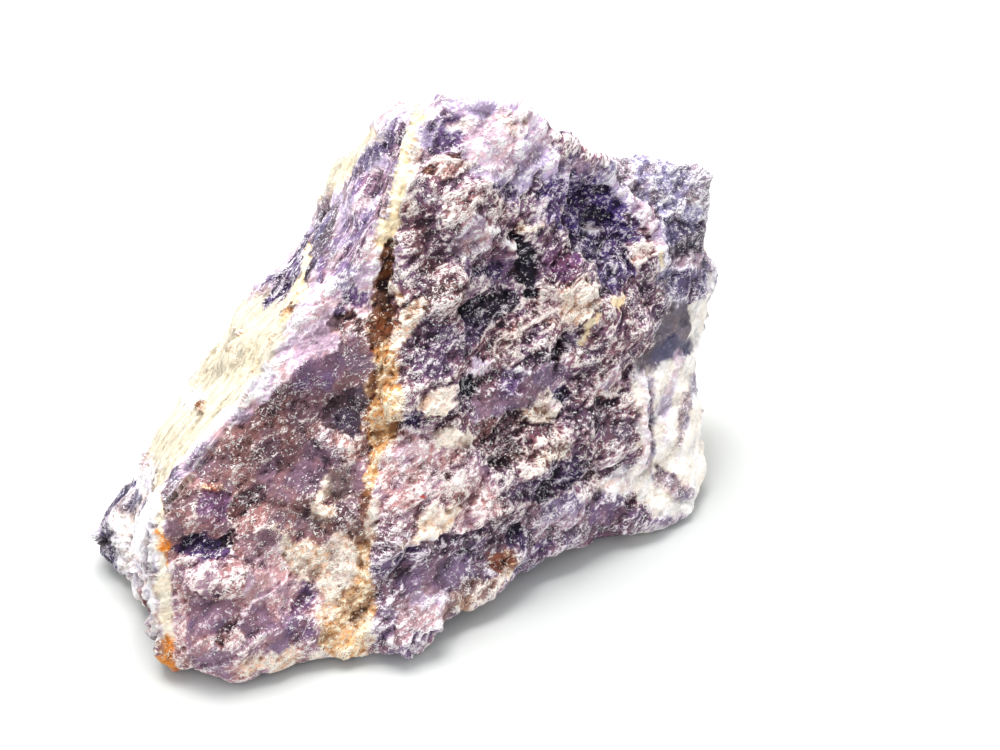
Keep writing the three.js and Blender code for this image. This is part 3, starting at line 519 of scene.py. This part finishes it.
# ---------------- mesh helpers
def cad_surface(node):
    """A node's points and triangles, in mm, with each point once."""
    mesh = node.data
    mesh.calc_loop_triangles()
    points = np.array([v.co for v in mesh.vertices]) / MM
    triangles = np.array([t.vertices[:] for t in mesh.loop_triangles])
    _, first, merged = np.unique(np.round(points, 3), axis=0, return_index=True, return_inverse=True)
    return points[first], merged.reshape(-1)[triangles]


def lengths(ways):
    return np.linalg.norm(ways, axis=1)


def edges_of(triangles):
    """Each edge once, and for each triangle's sides ab, bc and ca the edge it is."""
    sides = np.sort(triangles[:, [[0, 1], [1, 2], [2, 0]]].reshape(-1, 2), axis=1)
    keys, which = np.unique(sides[:, 0] * (triangles.max() + 1) + sides[:, 1], return_inverse=True)
    edges = np.stack(np.divmod(keys, triangles.max() + 1), axis=1)
    return edges, which.reshape(-1, 3)


def edge_limit(points):
    """How long a triangle's edge may be at each point."""
    back = np.clip((points[:, 1] - BACK_FROM) / (BACK_TO - BACK_FROM), 0, 1)
    return FRONT_EDGE + (BACK_EDGE - FRONT_EDGE) * back


def faces(*corners):
    return np.stack(corners, axis=1)


def split(points, triangles):
    """Splits every edge that is too long at its middle until none is left."""
    while True:
        edges, which = edges_of(triangles)
        ends = points[edges]
        middles = ends.mean(axis=1)
        long = lengths(ends[:, 0] - ends[:, 1]) > edge_limit(middles)
        if not long.any():
            return points, triangles
        added = np.full(len(edges), -1)
        added[long] = len(points) + np.arange(long.sum())
        points = np.vstack([points, middles[long]])
        middle = added[which]
        count = (middle >= 0).sum(axis=1)
        # Turned so that the first side is the split one, or the last is the one left whole.
        first = np.where(count == 1, middle.argmax(axis=1), (middle.argmin(axis=1) + 1) % 3)
        turn = (first[:, None] + np.arange(3)) % 3
        a, b, c = np.take_along_axis(triangles, turn, axis=1).T
        ab, bc, ca = np.take_along_axis(middle, turn, axis=1).T
        one, two, three = count == 1, count == 2, count == 3
        parts = [triangles[count == 0]]
        parts += [faces(a, ab, c)[one], faces(ab, b, c)[one]]
        shorter = lengths(points[a] - points[bc]) < lengths(points[ab] - points[c])
        parts += [faces(ab, b, bc)[two]]
        parts += [faces(a, ab, bc)[two & shorter], faces(a, bc, c)[two & shorter]]
        parts += [faces(a, ab, c)[two & ~shorter], faces(ab, bc, c)[two & ~shorter]]
        parts += [faces(a, ab, ca)[three], faces(ab, b, bc)[three], faces(ca, bc, c)[three]]
        parts += [faces(ab, bc, ca)[three]]
        triangles = np.concatenate(parts)


def normals_of(points, triangles):
    """Each point's normal, from the triangles round it."""
    a, b, c = points[triangles].swapaxes(0, 1)
    crosses = np.repeat(np.cross(b - a, c - a), 3, axis=0)
    normals = np.stack([np.bincount(triangles.reshape(-1), column, len(points)) for column in crosses.T])
    return (normals / np.linalg.norm(normals, axis=0)).T


def averaged(values, edges, rounds):
    """Values moved halfway to the mean of their neighbours, round by round."""
    near = np.concatenate([edges, edges[:, ::-1]])
    count = np.bincount(near[:, 0], minlength=len(values))
    flat = values.reshape(len(values), -1)
    for _ in range(rounds):
        sums = [np.bincount(near[:, 0], column[near[:, 1]], len(flat)) for column in flat.T]
        flat = flat + 0.5 * (np.stack(sums, axis=1) / count[:, None] - flat)
    return flat.reshape(values.shape)


def in_picture(points):
    """Where points are in the picture, px."""
    away = points - EYE
    scale = FOCAL / (away @ FORWARD)
    return np.stack([WIDTH / 2 + away[:, 0] * scale, HEIGHT / 2 - away @ UP * scale], axis=1)


def seen_from_camera(points, triangles):
    """1 where a point is in the camera's sight and 0 where it isn't."""
    surface = BVHTree.FromPolygons(points.tolist(), triangles.tolist())
    eye = Vector(EYE)
    seen = np.zeros(len(points))
    for i, point in enumerate(points.tolist()):
        way = Vector(point) - eye
        hit = surface.ray_cast(eye, way.normalized(), way.length + 1)[3]
        seen[i] = hit is not None and hit > way.length - SIGHT_SLACK
    return seen


# ---------------- painting
def linear(hex_colour):
    """A colour's linear red, green and blue."""
    values = np.array([int(hex_colour[k:k + 2], 16) for k in (1, 3, 5)]) / 255
    return np.where(values <= 0.04045, values / 12.92, ((values + 0.055) / 1.055) ** 2.4)


def mineral(name):
    """A mineral's numbers in one row: ground, pale grains, then its shares, gloss and crust."""
    ground, pale, *shares = PAINTS[name]
    return np.concatenate([linear(ground), linear(pale), shares])


def inside_zone(places, corners):
    """How far inside a zone's outline places are, px; negative outside."""
    corners = np.array(corners, float)
    inside = np.zeros(len(places), bool)
    nearest = np.full(len(places), np.inf)
    for a, b in zip(corners, np.roll(corners, -1, axis=0)):
        crosses = (a[1] > places[:, 1]) != (b[1] > places[:, 1])
        rise = (b[1] - a[1]) or 1e-9
        inside ^= crosses & (places[:, 0] < (b[0] - a[0]) * (places[:, 1] - a[1]) / rise + a[0])
        share = np.clip((places - a) @ (b - a) / ((b - a) @ (b - a)), 0, 1)
        nearest = np.minimum(nearest, lengths(places - a - share[:, None] * (b - a)))
    return np.where(inside, nearest, -nearest)


def vein_reach(places, line):
    """How far places are from a vein's middle, as a share of its half width there."""
    reach = np.full(len(places), np.inf)
    for (x0, y0, w0), (x1, y1, w1) in zip(line, line[1:]):
        a, way = np.array([x0, y0]), np.array([x1 - x0, y1 - y0])
        share = np.clip((places - a) @ way / (way @ way), 0, 1)
        away = lengths(places - a - share[:, None] * way)
        reach = np.minimum(reach, away / ((w0 + (w1 - w0) * share) * PX_PER_MM / 2))
    return reach


def patch_reach(places, patch):
    """How far places are from a patch's middle, as a share of its size that way."""
    x, y, (length, width), turn = patch[:4]
    away = places - (x, y)
    angle = math.radians(turn)
    along = away @ (math.cos(angle), -math.sin(angle))
    up = away @ (math.sin(angle), math.cos(angle))
    return np.hypot(along / (length * PX_PER_MM / 2), up / (width * PX_PER_MM / 2))


# ---------------- the split and eased solid
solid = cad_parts["amethyst_chunk"]
points, triangles = split(*cad_surface(solid))
edges, _ = edges_of(triangles)
fade = smoothstep(points[:, 2], 0, SPOT_FADE)[:, None]
points = points + fade * (averaged(points, edges, EASING_ROUNDS) - points)
normals = averaged(normals_of(points, triangles), edges, NORMAL_ROUNDS)
normals /= lengths(normals)[:, None]

# The grain's way changes from the front and the back to the west flank.
facing_flank = averaged(normals, edges, BROAD_ROUNDS) @ FLANK_WAY
flank = smoothstep(facing_flank, 0.42, 0.62)[:, None]
grain = stretched(points, GRAIN, STRETCH) * (1 - flank) + stretched(points, RIDGE, FLANK_STRETCH) * flank
seen = averaged(seen_from_camera(points, triangles), edges, SIGHT_ROUNDS)
seen = smoothstep(seen, 0.05, 0.5)
streaked = smoothstep(patch_reach(in_picture(points), SWEEP), 1.1, 0.7) * seen + flank[:, 0]

# The broken faces and flakes, each with a tone of its own.
facets, home = chips(grain, FACET, tilt=0.42, step=0.4, steepness=1.2, turn=40)
flakes, flake_home = chips(grain, FLAKE, tilt=0.5, step=0.16, steepness=0.8, turn=50)
facet_tone, facet_hue = [chance(np.floor((grain - home) / FACET), turn) for turn in (48, 49)]
flake_tone = chance(np.floor((grain - flake_home) / FLAKE), turn=58)

# ---------------- the minerals at each point
# Bands through the whole stone, their edges broken face by face.
warp = BAND_WARP * either_way(stretched(points, GRAIN, 2), size=26, turn=3)
warp += BAND_BREAK * (facet_tone - 0.5 + 0.5 * (flake_tone - 0.5))
place = points @ BAND_AXIS + warp
starts = np.array([start for start, _ in BANDS])
rows = np.array([mineral(name) for _, name in BANDS])
band = np.clip(np.searchsorted(starts, place) - 1, 0, len(BANDS) - 1)
following = np.clip(band + 1, 0, len(BANDS) - 1)
left = starts[following] - place + BAND_EDGE * either_way(grain, size=3, turn=5)
mix = smoothstep(left, BAND_EDGE, -BAND_EDGE)[:, None] * (following > band)[:, None]
look = rows[band] * (1 - mix) + rows[following] * mix

# Zones, patches and veins, each with a ragged edge.
ragged = either_way(grain, size=5, turn=11)
fine = either_way(grain, size=1.8, turn=12, octaves=2)
rise = np.zeros(len(points))
places = in_picture(points - ZONE_PULL[0] * home - ZONE_PULL[1] * flake_home)
for paint, corners in ZONES.values():
    inside = inside_zone(places, corners) + ZONE_RAGGED * ragged + ZONE_FINE * fine
    share = smoothstep(inside, -ZONE_EDGE, ZONE_EDGE) * seen
    look += (mineral(paint) - look) * share[:, None]
for patch in PATCHES.values():
    paint, amount, height = patch[4:]
    reach = patch_reach(places, patch) + PATCH_RAGGED * ragged + PATCH_FINE * fine
    share = amount * smoothstep(reach, 1.12, 0.82) * seen
    look += (mineral(paint) - look) * share[:, None]
    rise += height * smoothstep(reach, 1.15, 0.7) * seen
places = in_picture(points - VEIN_PULL[0] * home - VEIN_PULL[1] * flake_home)
for paint, amount, height, course in VEINS.values():
    reach = vein_reach(places, course) + VEIN_RAGGED * ragged + VEIN_FINE * fine
    share = amount * smoothstep(reach, 1.15, 0.75) * seen
    look += (mineral(paint) - look) * share[:, None]
    rise += height * smoothstep(reach, 1.3, 0.6) * seen
paleness, depth, gloss, crust = look[:, 6:].T

# ---------------- relief
busy = 0.25 + 0.75 * smoothstep(depth, 0, 0.2)  # smooth minerals have few deep grains and little relief
west_face = smoothstep(inside_zone(in_picture(points), ZONES["front west"][1]), -6, 10) * seen
even = 1 - WEST_EVENNESS * west_face
front = 1 - flank[:, 0]
lumps, _ = chips(grain, LUMP, tilt=0.4, step=0.6, steepness=3, turn=20)
rise += LUMP_RISE * lumps * (0.4 + 0.6 * busy) * even
rise += (FACET_RISE * facets + FLAKE_RISE * flakes) * busy * even
ledged = smoothstep(noise(points, size=14, turn=61), 0.3, 0.7)
rise += LEDGE_RISE * front * (ledges(points, ACROSS, LEDGE, turn=60) - 0.5) * ledged
rise += CRUST_RISE * crust * either_way(points, CRUST, turn=70, octaves=2)
rise += STREAK_RISE * flank[:, 0] * either_way(grain, STREAK, turn=80, octaves=2)
pits = smoothstep(noise(points, PIT, turn=90), 0.78, 0.9)
rise -= PIT_DEPTH * pits * smoothstep(crust, 0.2, 0.8)
eased = points
points = points + fade * (rise[:, None] * normals)

# How far each point stands out of its neighbourhood, near and wide, from which the material paints light
# and shade.
near = ((points - averaged(points, edges, NEAR_ROUNDS)) * normals).sum(axis=1)
wide = ((points - averaged(points, edges, WIDE_ROUNDS)) * normals).sum(axis=1)

mesh = bpy.data.meshes.new("amethyst")
mesh.from_pydata((points * MM).tolist(), [], triangles.tolist())
mesh.update()


def keep(name, *columns, kind="FLOAT_VECTOR", field="vector"):
    """Keeps a place, or three numbers, at each point for the material."""
    values = np.column_stack(columns).astype(np.float32)
    mesh.attributes.new(name, kind, "POINT").data.foreach_set(field, values.reshape(-1))


def keep_colour(name, *columns):
    keep(name, *columns, np.ones(len(points)), kind="FLOAT_COLOR", field="color")


keep_colour("ground", look[:, 0:3])
keep_colour("pale", look[:, 3:6])
keep_colour("shares", paleness, depth, gloss)
keep_colour("form", crust, smoothstep(near, 0.02, 0.16), smoothstep(-near, 0.02, 0.18))
keep_colour("broad", smoothstep(wide, 0.1, 0.9), smoothstep(-wide, 0.1, 1.0), streaked)
keep_colour("facet", facet_tone, facet_hue, flake_tone)
keep("place", eased)
keep("grain", grain)


def put(name, data):
    made = bpy.data.objects.new(name, data)
    bpy.context.scene.collection.objects.link(made)
    return made


stone = put("amethyst", mesh)


# ---------------- node helpers
def start_material(name):
    """An empty material, and its tree, which the functions below fill."""
    material = bpy.data.materials.new(name)
    material.use_nodes = True
    material.node_tree.nodes.clear()
    return material, material.node_tree


def node(kind, settings=(), **inputs):
    """A node. Its inputs, by name or as i and a number, are values or other nodes' outputs."""
    made = tree.nodes.new("ShaderNode" + kind)
    for key, value in dict(settings).items():
        setattr(made, key, value)
    for key, value in inputs.items():
        socket = made.inputs[int(key[1:]) if key[0] == "i" and key[1:].isdigit() else key.replace("_", " ")]
        if isinstance(value, bpy.types.NodeSocket):
            tree.links.new(value, socket)
        else:
            socket.default_value = value
    return made


def maths(operation, a, b=0.0, c=0.0):
    return node("Math", {"operation": operation}, i0=a, i1=b, i2=c).outputs[0]


def vectors(operation, a, b=(0, 0, 0), **fields):
    made = node("VectorMath", {"operation": operation}, i0=a, i1=b, **fields)
    return made.outputs["Value" if operation in ("DOT_PRODUCT", "LENGTH") else "Vector"]


def blend(a, b, share):
    """Colour a turned into b by that share."""
    return node("Mix", {"data_type": "RGBA"}, i0=share, i6=a, i7=b).outputs[2]


def step(value, low, high):
    """0 at low, 1 at high and smooth between."""
    smooth = {"interpolation_type": "SMOOTHSTEP"}
    return node("MapRange", smooth, i0=value, i1=low, i2=high).outputs[0]


def swing(value, amount, base=0.0):
    """A value that swings round the base by what another is off one half."""
    return maths("MULTIPLY_ADD", maths("SUBTRACT", value, 0.5), amount, base)


def times(a, b):
    return maths("MULTIPLY", a, b)


def plus(base, amount, value):
    """The base with an amount of another value on it."""
    return maths("MULTIPLY_ADD", value, amount, base)


def opposite(value):
    return maths("SUBTRACT", 1.0, value)


def crossing(value, half_width):
    """Thin lines where noise crosses one half."""
    return step(maths("ABSOLUTE", maths("SUBTRACT", value, 0.5)), half_width * 2, half_width)


def kept(name):
    return node("Attribute", {"attribute_name": name}).outputs


def parts(colour):
    return node("SeparateColor", i0=colour).outputs


def noise_node(place, size, detail, roughness=0.6):
    made = node("TexNoise", i0=place, Scale=1 / size, Detail=detail, Roughness=roughness)
    return made.outputs[0]


def cells(place, size):
    """Each grain's distance from its middle, and a random colour of its own."""
    return node("TexVoronoi", i0=place, Scale=1 / size).outputs


def towards_light(place, shift):
    """A place a little further up across the ledges, where the light comes from."""
    return vectors("ADD", place, tuple(shift * np.array(ACROSS) / np.linalg.norm(ACROSS)))


# ---------------- the stone's material
# Sizes of its marks.
MIST, TINT, SHAKE, CLOUD, FINE_CLOUD, FIBRE = 6.0, 5.0, 1.4, 1.9, 0.7, 0.9
COARSE_CELL, FINE_CELL, SPECK_CELL, CRUST_CELL = 1.4, 0.5, 0.42, 0.8
THREAD, GATE = 0.9, 1.3
BUMP = 0.4
TINT_SHIFT = (40.0, 9.0, 23.0)  # so that the tint doesn't follow the mist
LIGHT_SHIFT = 0.3
COOL, WARM, WHITE = (0.90, 0.94, 1.17, 1), (1.13, 0.98, 0.88, 1), (1, 1, 1, 1)

material, tree = start_material("amethyst")
ground = kept("ground")[0]
pale = kept("pale")[0]
pale_share, deep_share, gloss_share = parts(kept("shares")[0])
crusted, crest, crevice = parts(kept("form")[0])
high, low, streaked_share = parts(kept("broad")[0])
facet_tone, facet_hue, flake_tone = parts(kept("facet")[0])
grain_place = kept("grain")[1]
stone_place = kept("place")[1]

mist = noise_node(stone_place, MIST, 3.0)
tint = noise_node(vectors("ADD", stone_place, TINT_SHIFT), TINT, 2.0, 0.5)
shaken = node("TexNoise", i0=stone_place, Scale=1 / SHAKE, Detail=2.0).outputs[1]
warped = vectors("ADD", grain_place, vectors("SCALE", shaken, Scale=0.9))
curled = vectors("ADD", warped, vectors("SCALE", shaken, Scale=1.6))
cloud = noise_node(grain_place, CLOUD, 4.0, 0.7)
cloud_towards_light = noise_node(towards_light(grain_place, LIGHT_SHIFT), CLOUD, 4.0, 0.7)
fine_cloud = noise_node(grain_place, FINE_CLOUD, 3.0, 0.75)
coarse_cells = cells(warped, COARSE_CELL)
fine_cells = cells(warped, FINE_CELL)
speck_cells = cells(curled, SPECK_CELL)
fine_random = parts(fine_cells[1])
along = tuple(np.array(GRAIN) / np.linalg.norm(GRAIN))
drawn = times(vectors("DOT_PRODUCT", warped, along), -0.5)
fibre = noise_node(vectors("ADD", warped, vectors("SCALE", along, Scale=drawn)), FIBRE, 3.0)
thread = noise_node(curled, THREAD, 1.0, 0.5)
thread_towards_light = noise_node(towards_light(curled, LIGHT_SHIFT), THREAD, 1.0, 0.5)
gate = noise_node(stone_place, GATE, 1.0, 0.5)

# Light and dark within one mineral, grain by grain, and its hue. Smooth minerals vary less.
busy = step(deep_share, 0.0, 0.22)
uneven = plus(0.2, 0.8, busy)
tone = swing(mist, 0.7, 0.95)
tone = swing(flake_tone, 0.25, tone)
tone = swing(facet_tone, times(uneven, 0.55), tone)
tone = swing(fine_random[0], 0.3, tone)
tone = swing(fibre, times(streaked_share, 1.8), tone)
# Painted shade darkens the broad hollows and painted light brightens what stands out of its wide
# neighbourhood.
tone = plus(plus(tone, -0.6, low), 0.2, high)
hue = step(swing(facet_hue, 0.3, tint), 0.35, 0.65)
hue = blend(WHITE, blend(COOL, WARM, hue), uneven)
colour = vectors("SCALE", vectors("MULTIPLY", ground, hue), Scale=maths("MAXIMUM", tone, 0.25))
deep = vectors("SCALE", vectors("MULTIPLY", ground, ground), Scale=0.5)
deep = vectors("ADD", deep, (0.006, 0.003, 0.010))

# The crumbs: pale and deep grains by noise, with painted light and painted shade laid on them.
crumb_and_painted_light = swing(fine_random[1], 0.35)
crumb_and_painted_light = swing(fine_cloud, 1.3, crumb_and_painted_light)
crumb_and_painted_light = swing(cloud, 0.7, crumb_and_painted_light)
crumb_and_painted_light = swing(mist, 0.6, crumb_and_painted_light)
crumb_and_painted_light = swing(facet_tone, 0.2, crumb_and_painted_light)
# Painted light on the side of each lump towards the light, painted shade on its far side.
crumb_and_painted_light = plus(crumb_and_painted_light, 2.0, maths("SUBTRACT", cloud, cloud_towards_light))
# Painted shade in the clefts; the crests paler, partly as bruised edges and partly as painted highlight.
crumb_and_painted_light = plus(plus(crumb_and_painted_light, -0.5, crevice), 0.4, crest)
crumb_and_painted_light = times(crumb_and_painted_light, plus(0.25, 0.75, busy))
paled = step(plus(crumb_and_painted_light, 1.3, pale_share), 0.47, 0.95)
deepened = step(maths("SUBTRACT", times(deep_share, 1.3), crumb_and_painted_light), 0.44, 0.96)
colour = blend(colour, pale, paled)
colour = blend(colour, deep, times(deepened, 0.95))

# Bright flecks and threads that come and go, each thread with a painted shadow below it.
often = plus(plus(-0.09, 0.12, crest), 0.2, pale_share)
often = plus(swing(mist, 0.7, often), -0.3, opposite(busy))
shown = step(maths("ADD", gate, often), 0.46, 0.56)
threads = times(crossing(thread, 0.016), shown)
beside = times(shown, opposite(threads))
thread_shadow = times(crossing(thread_towards_light, 0.02), beside)
sparks = step(swing(mist, 0.4, parts(speck_cells[1])[0]), 0.88, 0.92)
sparks = times(sparks, plus(0.1, 0.9, busy))
sparks = times(sparks, step(speck_cells[0], 0.55, 0.35))
# The flecks and threads are partly pale quartz grains and partly painted glints.
flecks_and_glints = maths("MAXIMUM", threads, sparks)
colour = blend(colour, deep, times(thread_shadow, 0.7))
colour = blend(colour, blend(pale, WHITE, 0.5), times(flecks_and_glints, 0.9))


def turned(grains):
    """How far each crystal grain is turned its own way."""
    away = vectors("SUBTRACT", grains[1], (0.5, 0.5, 0.5))
    return vectors("SCALE", away, Scale=times(busy, 0.6))


surface = node("NewGeometry").outputs["Normal"]
turns = vectors("ADD", turned(fine_cells), turned(coarse_cells))
facing = vectors("NORMALIZE", vectors("ADD", surface, turns))
height = times(cells(stone_place, CRUST_CELL)[0], crusted)
height = plus(height, 0.6, fine_cloud)
height = plus(plus(height, 0.3, flecks_and_glints), 0.8, crumb_and_painted_light)
bump = node("Bump", Strength=0.8, Distance=BUMP * MM, Height=height, Normal=facing).outputs[0]
matt = swing(parts(coarse_cells[1])[0], 0.3, plus(0.78, -0.55, gloss_share))
shader = node("BsdfPrincipled", Base_Color=colour, Roughness=matt, Normal=bump, IOR=1.54,
              Specular_IOR_Level=0.28)
node("OutputMaterial", Surface=shader.outputs[0])
mesh.materials.append(material)

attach(stone, "root")
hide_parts("amethyst_chunk")

# ---------------- the floor
REACH = 6000 * MM
# The floor is painted paler far from the stone, as painted light where the key's light falls off.
FLOOR, FAR_FLOOR = (0.58, 0.592, 0.588, 1), (0.93, 0.95, 0.945, 1)
FAR_FROM, FAR_TO = 250 * MM, 1400 * MM  # where the floor starts to turn paler, and has turned

floor_mesh = bpy.data.meshes.new("floor")
corners = [(-REACH, -REACH, 0), (REACH, -REACH, 0), (REACH, REACH, 0), (-REACH, REACH, 0)]
floor_mesh.from_pydata(corners, [], [(0, 1, 2, 3)])
floor = put("floor", floor_mesh)
floor_material, tree = start_material("floor")
away = vectors("LENGTH", node("TexCoord").outputs["Object"])
floor_colour = blend(FLOOR, FAR_FLOOR, step(away, FAR_FROM, FAR_TO))
shader = node("BsdfPrincipled", Base_Color=floor_colour, Roughness=0.9, Specular_IOR_Level=0.1)
node("OutputMaterial", Surface=shader.outputs[0])
floor_mesh.materials.append(floor_material)

# ---------------- the light
KEY_PLACE, KEY_SIZE = (-110, 190, 730), 520
KEY_WATTS, KEY_COLOUR = 9.8, (1, 0.985, 0.96)
KEY_AIM = (0, 0, 45)
STUDIO_COLOUR, STUDIO_STRENGTH = (0.96, 0.985, 1, 1), 0.93

world = bpy.data.worlds.new("studio")
bpy.context.scene.world = world
world.use_nodes = True
backdrop = world.node_tree.nodes["Background"].inputs
backdrop["Color"].default_value = STUDIO_COLOUR
backdrop["Strength"].default_value = STUDIO_STRENGTH

key_data = bpy.data.lights.new("key", "AREA")
key_data.size = KEY_SIZE * MM
key_data.energy = KEY_WATTS
key_data.color = KEY_COLOUR
key = put("key", key_data)
key.location = Vector(KEY_PLACE) * MM
key.rotation_euler = (Vector(KEY_AIM) - Vector(KEY_PLACE)).to_track_quat("-Z", "Y").to_euler()

# ---------------- the camera's object
camera_data = bpy.data.cameras.new("camera")
camera_data.lens = LENS
camera_data.sensor_width = SENSOR
camera_data.clip_start = 10 * MM
camera = put("camera", camera_data)
camera.location = Vector(EYE) * MM
camera.rotation_euler = (math.pi / 2 - ELEVATION, 0, 0)
bpy.context.scene.camera = camera
bpy.context.scene.view_settings.view_transform = "Standard"
